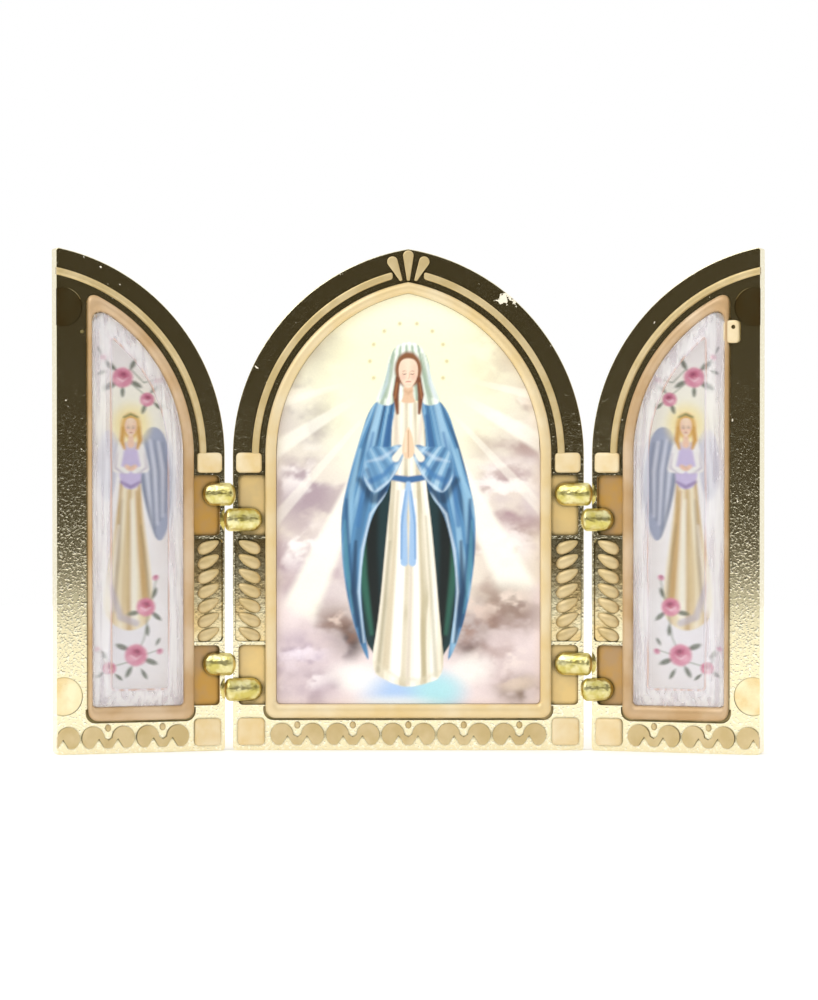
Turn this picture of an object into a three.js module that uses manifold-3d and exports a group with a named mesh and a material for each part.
// A pocket triptych in gilt moulded plastic: a pointed-arch middle panel with a picture,
// and two half-arch doors, each with a picture under a clear bevelled cover.
// Millimetres, +Z up, the pictures face -Y, origin in the middle of the middle panel's underside.
import * as THREE from "three";
import { mergeVertices } from "three/addons/utils/BufferGeometryUtils.js";
import Module from "manifold-3d";

const wasm = await Module();
wasm.setup();

// Panels
const panelHeight = 60;
const panelWidth = 42;
const panelThickness = 2.6;
const archRadius = 25;
const closingSlit = 1;
const doorRestDegrees = 18;

// Hinges: the axis stands in front of the faces, so that closed doors clear the mouldings.
const edgeSlit = 0.65;
const axisStandOff = 1.0;
const knuckleRadius = 0.75;
const lugHeight = 2.75;
const lugSlit = 0.3;
const centreLugReach = 3.5;
const doorLugReach = 2.65;
const lugToeHeight = 0.3;
const lugDrop = 0.2;

// Picture moulding and the recess that it frames
const lipInset = 3.9;
const lipWidth = 1.3;
const lipFootWidth = 1.65;
const lipRise = 0.8;
const lipWall = 0.3;
const freeLipInset = 3.7;
const freeLipWidth = 0.5;
const outerCornerReach = 1.2;
const innerCornerReach = 0.5;
const centreRecess = 0.9;
const doorRecess = 1.5;

// Cards and clear covers
const cardThickness = 0.4;
const fitGap = 0.25;
const lensRimRise = 0.5;
const lensRise = 1.3;
const lensBevelWidth = 1.8;

// Side ornament, from the base upwards: base band, pocket, leaf tray, pocket, capital
const baseBandHeight = 5.45;
const pocketHeight = 7.2;
const pocketDepth = 0.5;
const flangeWidth = 0.65;
const ridgeWidth = 0.4;
const trayDepth = 0.35;
const trayMargin = 0.25;
const leafPitch = 1.75;
const leafLength = 2.75;
const leafWidth = 1.35;
const leafRise = 0.35;
const leafTiltDegrees = 33;
const capitalWidth = 3.1;
const capitalHeight = 2.4;
const capitalInset = 0.4;
const capitalAboveSpringing = 0.35;
const capitalGap = 0.3;
const blockRise = 0.45;
const blockCorner = 0.5;

// Bead band and the fan at the top of the arch
const beadInset = 2.3;
const beadWidth = 0.85;
const beadRise = 0.4;
const beadStopFromMiddle = 1.75;
const fanFootRadius = 0.2;
const fanHeadRadius = 0.6;
const fanMiddleLength = 2.45;
const fanSideLength = 1.95;
const fanSideOffset = 0.92;
const fanSideTiltDegrees = 19;
const fanRise = 0.4;

// Base band: corner blocks and a row of paired scallops under small dots
const cornerBlockSize = 3.25;
const cornerBlockInset = 0.55;
const cornerBlockFoot = 0.65;
const scallopPitch = 6.65;
const scallopSpread = 1.77;
const scallopRadius = 1.45;
const scallopHeight = 1.72;
const scallopFoot = 0.7;
const notchHeight = 1.6;
const notchNear = 0.6;
const notchFar = 1.55;
const scallopValley = 1.75;
const scallopRise = 0.3;
const dotRadius = 0.35;
const dotHeight = 3.0;

// Small marks on the doors' free edges
const stampRadius = 2.3;
const stampFromFreeEdge = 0.8;
const stampDepth = 0.15;
const stampFromFoot = 6.9;
const stampFromTop = 7.1;
const earWidth = 1.2;
const earHeight = 2.7;
const earBelowTop = 10.0;
const earRise = 0.7;
const pinDimpleRadius = 0.25;

// How finely curves are cut
const arcSteps = 14;
const cornerSteps = 3;
const beadSteps = 5;
const roundSteps = 10;
const lobeSteps = 8;

const halfWidth = panelWidth / 2;
const archOffset = archRadius - halfWidth;
const springing = panelHeight - Math.sqrt(archRadius ** 2 - archOffset ** 2);
const freeEdge = closingSlit / 2;
const openingInset = lipInset + lipWidth;
const openingFoot = lipInset + lipFootWidth;
const axisX = halfWidth + edgeSlit / 2;
const lipOuterX = halfWidth - lipInset;
const capitalTop = springing + capitalAboveSpringing;
const upperPocketTop = capitalTop - capitalHeight - capitalGap;
const upperPocketFoot = upperPocketTop - pocketHeight;
const lowerPocketFoot = baseBandHeight;
const trayFoot = lowerPocketFoot + pocketHeight + ridgeWidth;
const trayTop = upperPocketFoot - ridgeWidth;

const colours = { gilt: 0xd9bd6a, card: 0xe9e2dc, clear: 0xf4f6f6 };

// Turns a closed geometry into a solid that can be joined and cut.
function solidFrom(geometry) {
  const bare = geometry.clone();
  bare.deleteAttribute("normal");
  bare.deleteAttribute("uv");
  const merged = mergeVertices(bare, 1e-4);
  return new wasm.Manifold(
    new wasm.Mesh({
      numProp: 3,
      vertProperties: new Float32Array(merged.attributes.position.array),
      triVerts: new Uint32Array(merged.index.array),
    }),
  );
}

function geometryFrom(solid) {
  const { numProp, vertProperties, triVerts } = solid.getMesh();
  const positions = new Float32Array((vertProperties.length / numProp) * 3);
  for (let i = 0; i < positions.length / 3; i += 1) {
    positions.set(vertProperties.subarray(i * numProp, i * numProp + 3), i * 3);
  }
  const geometry = new THREE.BufferGeometry();
  geometry.setAttribute("position", new THREE.BufferAttribute(positions, 3));
  geometry.setIndex(new THREE.BufferAttribute(new Uint32Array(triVerts), 1));
  geometry.computeVertexNormals();
  return geometry;
}

// The same solid on the other side of the middle line, with its faces turned back outwards.
function mirrored(solid) {
  const geometry = geometryFrom(solid);
  geometry.scale(-1, 1, 1);
  const corners = geometry.index.array;
  for (let i = 0; i < corners.length; i += 3) {
    [corners[i + 1], corners[i + 2]] = [corners[i + 2], corners[i + 1]];
  }
  return solidFrom(geometry);
}

function joined(solids) {
  return solids.reduce((whole, piece) => whole.add(piece));
}

function point(x, z) {
  return new THREE.Vector2(x, z);
}

// An upright shape (x, z) given thickness from one depth behind the face to another in front of it.
function slab(outline, behind, front) {
  const shape = Array.isArray(outline) ? new THREE.Shape(outline) : outline;
  const geometry = new THREE.ExtrudeGeometry(shape, {
    depth: behind + front,
    bevelEnabled: false,
    curveSegments: roundSteps,
  });
  geometry.rotateX(Math.PI / 2);
  geometry.translate(0, behind, 0);
  return solidFrom(geometry);
}

// A corner rounded by a curve that leaves it by the given reach on both sides.
function softCorner(corner, before, after, reach) {
  const start = corner.clone().addScaledVector(before, reach);
  const end = corner.clone().addScaledVector(after, reach);
  return new THREE.QuadraticBezierCurve(start, corner, end).getPoints(cornerSteps);
}

const up = point(0, 1);
const down = point(0, -1);
const rightward = point(1, 0);
const leftward = point(-1, 0);

function archTop(x, inset) {
  return springing + Math.sqrt((archRadius - inset) ** 2 - (x + archOffset) ** 2);
}

// The right-hand arc of the arch, inset from the panel's edge, from its springing up to endX.
function arcPoints(inset, endX) {
  const radius = archRadius - inset;
  const endAngle = Math.acos((endX + archOffset) / radius);
  const points = [];
  for (let i = 0; i <= arcSteps; i += 1) {
    const angle = (endAngle * i) / arcSteps;
    points.push(point(radius * Math.cos(angle) - archOffset, springing + radius * Math.sin(angle)));
  }
  return points;
}

function fullArch(inset, foot, reach) {
  const side = halfWidth - inset;
  const right = arcPoints(inset, 0);
  const left = right.slice(0, -1).map((p) => point(-p.x, p.y)).reverse();
  return [
    ...softCorner(point(-side, foot), up, rightward, reach),
    ...softCorner(point(side, foot), leftward, up, reach),
    ...right,
    ...left,
  ];
}

// Half of the arch, from its hinge side to a straight free side near the middle line.
function halfArch(inset, foot, freeInset, reach) {
  const side = halfWidth - inset;
  const free = freeEdge + freeInset;
  const tip = point(free, archTop(free, inset));
  const arc = arcPoints(inset, free + reach);
  const tipCurve = new THREE.QuadraticBezierCurve(arc.pop(), tip, tip.clone().addScaledVector(down, reach));
  return [
    ...softCorner(point(free, foot), up, rightward, reach),
    ...softCorner(point(side, foot), leftward, up, reach),
    ...arc,
    ...tipCurve.getPoints(cornerSteps),
  ];
}

// Faces between rows of points that all run the same way round. The rows close on themselves when
// they make a ring, and are capped by a flat face at either end when they make a block.
function rowsSolid(rows, isRing) {
  const count = rows[0].length;
  const positions = rows.flat().flatMap(([x, y, z]) => [x, y, z]);
  const faces = [];
  const lastRow = isRing ? rows.length : rows.length - 1;
  for (let i = 0; i < lastRow; i += 1) {
    for (let j = 0; j < count; j += 1) {
      const here = i * count;
      const next = ((i + 1) % rows.length) * count;
      const along = (j + 1) % count;
      faces.push(here + j, here + along, next + along);
      faces.push(here + j, next + along, next + j);
    }
  }
  if (!isRing) {
    const contour = rows[0].map(([x, , z]) => point(x, z));
    const top = (rows.length - 1) * count;
    for (const [a, b, c] of THREE.ShapeUtils.triangulateShape(contour, [])) {
      faces.push(a, c, b);
      faces.push(top + a, top + b, top + c);
    }
  }
  const geometry = new THREE.BufferGeometry();
  geometry.setAttribute("position", new THREE.Float32BufferAttribute(positions, 3));
  geometry.setIndex(faces);
  return solidFrom(geometry);
}

// A half-round moulding on short walls, laid along an outline that shrinks inwards.
function moulding(outlineAt) {
  const section = [[0, -doorRecess]];
  for (let i = 0; i <= beadSteps; i += 1) {
    const angle = (Math.PI * i) / beadSteps;
    section.push([(1 - Math.cos(angle)) / 2, lipWall + (lipRise - lipWall) * Math.sin(angle)]);
  }
  section.push([1, -doorRecess]);
  return rowsSolid(section.map(([share, rise]) => outlineAt(share).map((p) => [p.x, -rise, p.y])), true);
}

// A raised ornament: its outline at full size in the ground, drawn in towards its middle as it rises.
function cushion(outline, rise, edge) {
  const middle = outline.reduce((sum, p) => sum.add(p), point(0, 0)).divideScalar(outline.length);
  const reach = Math.min(...outline.map((p) => p.distanceTo(middle)));
  const levels = [
    [0, -rise],
    [0, rise - edge],
    [edge, rise],
  ];
  return rowsSolid(
    levels.map(([drawnIn, height]) =>
      outline.map((p) => {
        const moved = p.clone().lerp(middle, drawnIn / reach);
        return [moved.x, -height, moved.y];
      }),
    ),
    false,
  );
}

function boxOutline(left, foot, right, top, reach) {
  return [
    ...softCorner(point(left, foot), up, rightward, reach),
    ...softCorner(point(right, foot), leftward, up, reach),
    ...softCorner(point(right, top), down, leftward, reach),
    ...softCorner(point(left, top), rightward, down, reach),
  ];
}

// A long drop with round ends of two sizes, standing on its foot and then tilted.
function dropOutline(footRadius, headRadius, length, tilt, foot) {
  const points = [];
  for (let i = 0; i <= cornerSteps; i += 1) {
    const angle = Math.PI + (Math.PI * i) / cornerSteps;
    points.push(point(footRadius * Math.cos(angle), footRadius * Math.sin(angle)));
  }
  for (let i = 0; i <= 2 * cornerSteps; i += 1) {
    const angle = (Math.PI * i) / (2 * cornerSteps);
    points.push(point(headRadius * Math.cos(angle), length + headRadius * Math.sin(angle)));
  }
  return points.map((p) => p.rotateAround(point(0, 0), tilt).add(foot));
}

function leafOutline(middle) {
  const tilt = THREE.MathUtils.degToRad(leafTiltDegrees);
  const points = [];
  for (let i = 0; i < roundSteps; i += 1) {
    const angle = (2 * Math.PI * i) / roundSteps;
    const across = (leafWidth / 2) * Math.sin(angle) * (1 - 0.25 * Math.abs(Math.cos(angle)));
    points.push(point((leafLength / 2) * Math.cos(angle), across));
  }
  return points.map((p) => p.rotateAround(point(0, 0), tilt).add(middle));
}

function leaves() {
  const count = Math.max(1, Math.round((trayTop - trayFoot) / leafPitch));
  const first = (trayTop + trayFoot - (count - 1) * leafPitch) / 2;
  const middleX = (lipOuterX + halfWidth) / 2;
  const solids = [];
  for (let i = 0; i < count; i += 1) {
    const outline = leafOutline(point(middleX, first + i * leafPitch));
    solids.push(cushion(outline, leafRise, 0.8 * leafRise).translate([0, trayDepth, 0]));
  }
  return joined(solids);
}

// One hinge lug: a bullet-shaped bar that rises from the pocket to the knuckle round the axis.
function lug(middle, reach) {
  const toeX = halfWidth - reach;
  const profile = new THREE.Shape();
  profile.moveTo(toeX, pocketDepth + lugToeHeight);
  profile.lineTo(halfWidth - fitGap, pocketDepth + lugToeHeight);
  profile.lineTo(halfWidth - fitGap, 0);
  profile.lineTo(axisX, -axisStandOff + knuckleRadius);
  profile.absarc(axisX, -axisStandOff, knuckleRadius, Math.PI / 2, -Math.PI / 2, true);
  profile.quadraticCurveTo(toeX, -axisStandOff - knuckleRadius, toeX, -lugToeHeight);
  profile.closePath();
  const bar = new THREE.ExtrudeGeometry(profile, {
    depth: lugHeight,
    bevelEnabled: false,
    curveSegments: roundSteps / 2,
  });
  bar.translate(0, 0, middle - lugHeight / 2);
  const bullet = new THREE.Shape();
  bullet.moveTo(axisX + 2 * knuckleRadius, middle - lugHeight / 2);
  bullet.lineTo(axisX + 2 * knuckleRadius, middle + lugHeight / 2);
  bullet.absarc(toeX + lugHeight / 2, middle, lugHeight / 2, Math.PI / 2, (3 * Math.PI) / 2, false);
  bullet.closePath();
  return solidFrom(bar).intersect(slab(bullet, panelThickness, 2 * (axisStandOff + knuckleRadius)));
}

function lugs(isUpper, reach) {
  const step = (lugHeight + lugSlit) / 2;
  const shift = (isUpper ? step : -step) - lugDrop;
  const pocketFeet = [lowerPocketFoot, upperPocketFoot];
  return joined(pocketFeet.map((foot) => lug(foot + pocketHeight / 2 + shift, reach)));
}

// The recesses beside one hinge edge: two pockets for the lugs and the leaf tray between them.
function sideRecesses() {
  const underLip = lipOuterX - lipWidth / 2;
  const pocket = (foot) =>
    slab(
      boxOutline(underLip, foot, halfWidth - flangeWidth, foot + pocketHeight, blockCorner),
      pocketDepth,
      pocketDepth,
    );
  const tray = boxOutline(underLip, trayFoot, halfWidth - trayMargin, trayTop, blockCorner);
  return joined([pocket(lowerPocketFoot), pocket(upperPocketFoot), slab(tray, trayDepth, trayDepth)]);
}

function block(right, foot, width, height) {
  return cushion(boxOutline(right - width, foot, right, foot + height, blockCorner), blockRise, 0.2);
}

// The raised ornament beside one hinge edge.
function sideOrnament(lugIsUpper, lugReach) {
  const capitalFoot = capitalTop - capitalHeight;
  return joined([
    leaves(),
    lugs(lugIsUpper, lugReach),
    block(halfWidth - capitalInset, capitalFoot, capitalWidth, capitalHeight),
    block(halfWidth - cornerBlockInset, cornerBlockFoot, cornerBlockSize, cornerBlockSize),
  ]);
}

// The bead that follows the arch from the capital up to stopX, where it has a round end.
function beadBand(stopX) {
  const middleInset = beadInset + beadWidth / 2;
  const outer = arcPoints(beadInset, stopX);
  const inner = arcPoints(beadInset + beadWidth, stopX).reverse();
  const end = dropOutline(
    beadWidth / 2,
    beadWidth / 2,
    beadWidth,
    -Math.PI / 2,
    point(stopX, archTop(stopX, middleInset)),
  );
  return joined([slab([...outer, ...inner], beadRise, beadRise), slab(end, beadRise, beadRise)]);
}

function fanPetal(length, offset, tiltDegrees) {
  const foot = point(offset, archTop(0, lipInset) + 1.5 * fanFootRadius);
  const tilt = THREE.MathUtils.degToRad(tiltDegrees);
  return cushion(dropOutline(fanFootRadius, fanHeadRadius, length, tilt, foot), fanRise, 0.15);
}

function fan() {
  return joined([
    fanPetal(fanMiddleLength, 0, 0),
    fanPetal(fanSideLength, -fanSideOffset, fanSideTiltDegrees),
    fanPetal(fanSideLength, fanSideOffset, -fanSideTiltDegrees),
  ]);
}

// Two scallops joined by a pointed foot, under a dot at the given x.
function scallopPair(x) {
  const halfLow = Math.asin((scallopHeight - scallopFoot) / scallopRadius);
  const half = [point(0, scallopFoot)];
  half.push(point(notchNear, scallopFoot));
  half.push(point((notchNear + notchFar) / 2, notchHeight));
  half.push(point(notchFar, scallopFoot));
  for (let i = 0; i <= lobeSteps; i += 1) {
    const angle = -halfLow + ((Math.PI + halfLow) * i) / lobeSteps;
    const lobeX = scallopSpread + scallopRadius * Math.cos(angle);
    half.push(point(lobeX, scallopHeight + scallopRadius * Math.sin(angle)));
  }
  const other = half.slice(1).map((p) => point(-p.x, p.y)).reverse();
  const outline = [...half, point(0, scallopValley), ...other].map((p) => p.add(point(x, 0)));
  const dot = new THREE.Shape().absarc(x, dotHeight, dotRadius, 0, 2 * Math.PI, false);
  return slab(outline, scallopRise, scallopRise).add(slab(dot, scallopRise, scallopRise));
}

function scallopRow() {
  const room = panelWidth - 2 * (cornerBlockInset + cornerBlockSize);
  const count = Math.max(1, Math.round(room / scallopPitch));
  const solids = [];
  for (let i = 0; i < count; i += 1) {
    solids.push(scallopPair((i - (count - 1) / 2) * scallopPitch));
  }
  return joined(solids);
}

function centreOpening(extra) {
  return fullArch(openingInset + extra, openingFoot + extra, innerCornerReach);
}

function doorOpening(extra) {
  const freeSide = freeLipInset + freeLipWidth + extra;
  return halfArch(openingInset + extra, openingFoot + extra, freeSide, innerCornerReach);
}

function cornerReachAt(share) {
  return outerCornerReach + (innerCornerReach - outerCornerReach) * share;
}

function centreFrame() {
  const rightRecesses = sideRecesses();
  const plate = slab(fullArch(0, 0, ridgeWidth), panelThickness, 0)
    .subtract(rightRecesses)
    .subtract(mirrored(rightRecesses));
  const lip = moulding((share) =>
    fullArch(lipInset + lipWidth * share, lipInset + lipFootWidth * share, cornerReachAt(share)),
  );
  const bead = beadBand(beadStopFromMiddle);
  return joined([
    plate,
    lip,
    sideOrnament(true, centreLugReach),
    mirrored(sideOrnament(false, centreLugReach)),
    bead,
    mirrored(bead),
    fan(),
    scallopRow(),
  ]).subtract(slab(centreOpening(0), centreRecess, lipRise));
}

// A door is drawn as the right half of the arch, with its hinge edge on the right.
function doorFrame(lugIsUpper, hasEar) {
  const lip = moulding((share) =>
    halfArch(
      lipInset + lipWidth * share,
      lipInset + lipFootWidth * share,
      freeLipInset + freeLipWidth * share,
      cornerReachAt(share),
    ),
  );
  const stamps = [stampFromFoot, panelHeight - stampFromTop].map((height) => {
    const circle = new THREE.Shape();
    circle.absarc(freeEdge + stampFromFreeEdge, height, stampRadius, 0, 2 * Math.PI, false);
    return slab(circle, stampDepth, stampDepth);
  });
  const plate = slab(halfArch(0, 0, 0, ridgeWidth), panelThickness, 0)
    .subtract(sideRecesses())
    .subtract(joined(stamps));
  const earMiddle = panelHeight - earBelowTop;
  const earLeft = freeEdge + freeLipInset - earWidth;
  const earFoot = earMiddle - earHeight / 2;
  const earRight = earLeft + 1.5 * earWidth;
  const ear = cushion(
    boxOutline(earLeft, earFoot, earRight, earFoot + earHeight, blockCorner),
    earRise,
    0.2,
  );
  const pinX = earLeft + earWidth / 2;
  const pinCircle = new THREE.Shape().absarc(pinX, earMiddle, pinDimpleRadius, 0, 2 * Math.PI, false);
  const dimple = slab(pinCircle, stampDepth, stampDepth);
  const catchPiece = hasEar ? ear.subtract(slab(pinCircle, 0, panelThickness)) : dimple;
  const reachBeyond = panelHeight;
  const doorRoom = boxOutline(freeEdge, 0, reachBeyond, 2 * panelHeight, fitGap);
  const onDoorSide = slab(doorRoom, panelHeight, panelHeight);
  return joined([
    plate,
    lip,
    catchPiece,
    joined([sideOrnament(lugIsUpper, doorLugReach), beadBand(0), scallopRow()]).intersect(onDoorSide),
  ]).subtract(slab(doorOpening(0), doorRecess, lipRise));
}

// Cards lie on the recess floor with a little room round them.
function card(outline, recess) {
  return slab(outline, recess - fitGap, cardThickness + fitGap - recess);
}

// A clear cover: a flat back, an upright rim, and a wide bevel up to a flat plateau.
function lens() {
  const back = doorRecess - 2 * fitGap - cardThickness;
  const rows = [
    [fitGap, -back],
    [fitGap, lensRimRise],
    [fitGap + lensBevelWidth, lensRise],
  ];
  return rowsSolid(
    rows.map(([extra, rise]) => doorOpening(extra).map((p) => [p.x, -rise, p.y])),
    false,
  );
}

function mesh(name, solid, colour, roughness, metalness) {
  const material = new THREE.MeshStandardMaterial({ color: colour, roughness, metalness });
  if (colour === colours.clear) {
    material.transparent = true;
    material.opacity = 0.3;
  }
  const made = new THREE.Mesh(geometryFrom(solid), material);
  made.name = name;
  return made;
}

const triptych = new THREE.Group();

const centre = new THREE.Group();
centre.position.y = -panelThickness / 2;
centre.add(mesh("centre_frame", centreFrame(), colours.gilt, 0.25, 1));
centre.add(mesh("centre_picture", card(centreOpening(fitGap), centreRecess), colours.card, 0.4, 0));
triptych.add(centre);

// A door hangs in a group whose origin is on the hinge axis, turned to its resting angle.
function door(name, isLeft) {
  const frame = doorFrame(isLeft, !isLeft);
  const picture = card(doorOpening(fitGap), doorRecess);
  const cover = lens();
  const side = isLeft ? -1 : 1;
  const placed = (solid) => (isLeft ? solid : mirrored(solid));
  const leaf = new THREE.Group();
  leaf.position.set(side * axisX, axisStandOff, 0);
  leaf.add(mesh(`${name}_frame`, placed(frame), colours.gilt, 0.25, 1));
  leaf.add(mesh(`${name}_picture`, placed(picture), colours.card, 0.4, 0));
  leaf.add(mesh(`${name}_lens`, placed(cover), colours.clear, 0.05, 0));
  const hinge = new THREE.Group();
  hinge.position.set(side * axisX, -panelThickness / 2 - axisStandOff, 0);
  hinge.rotation.z = -side * THREE.MathUtils.degToRad(doorRestDegrees);
  hinge.add(leaf);
  return hinge;
}

triptych.add(door("left_door", true));
triptych.add(door("right_door", false));

export default triptych;
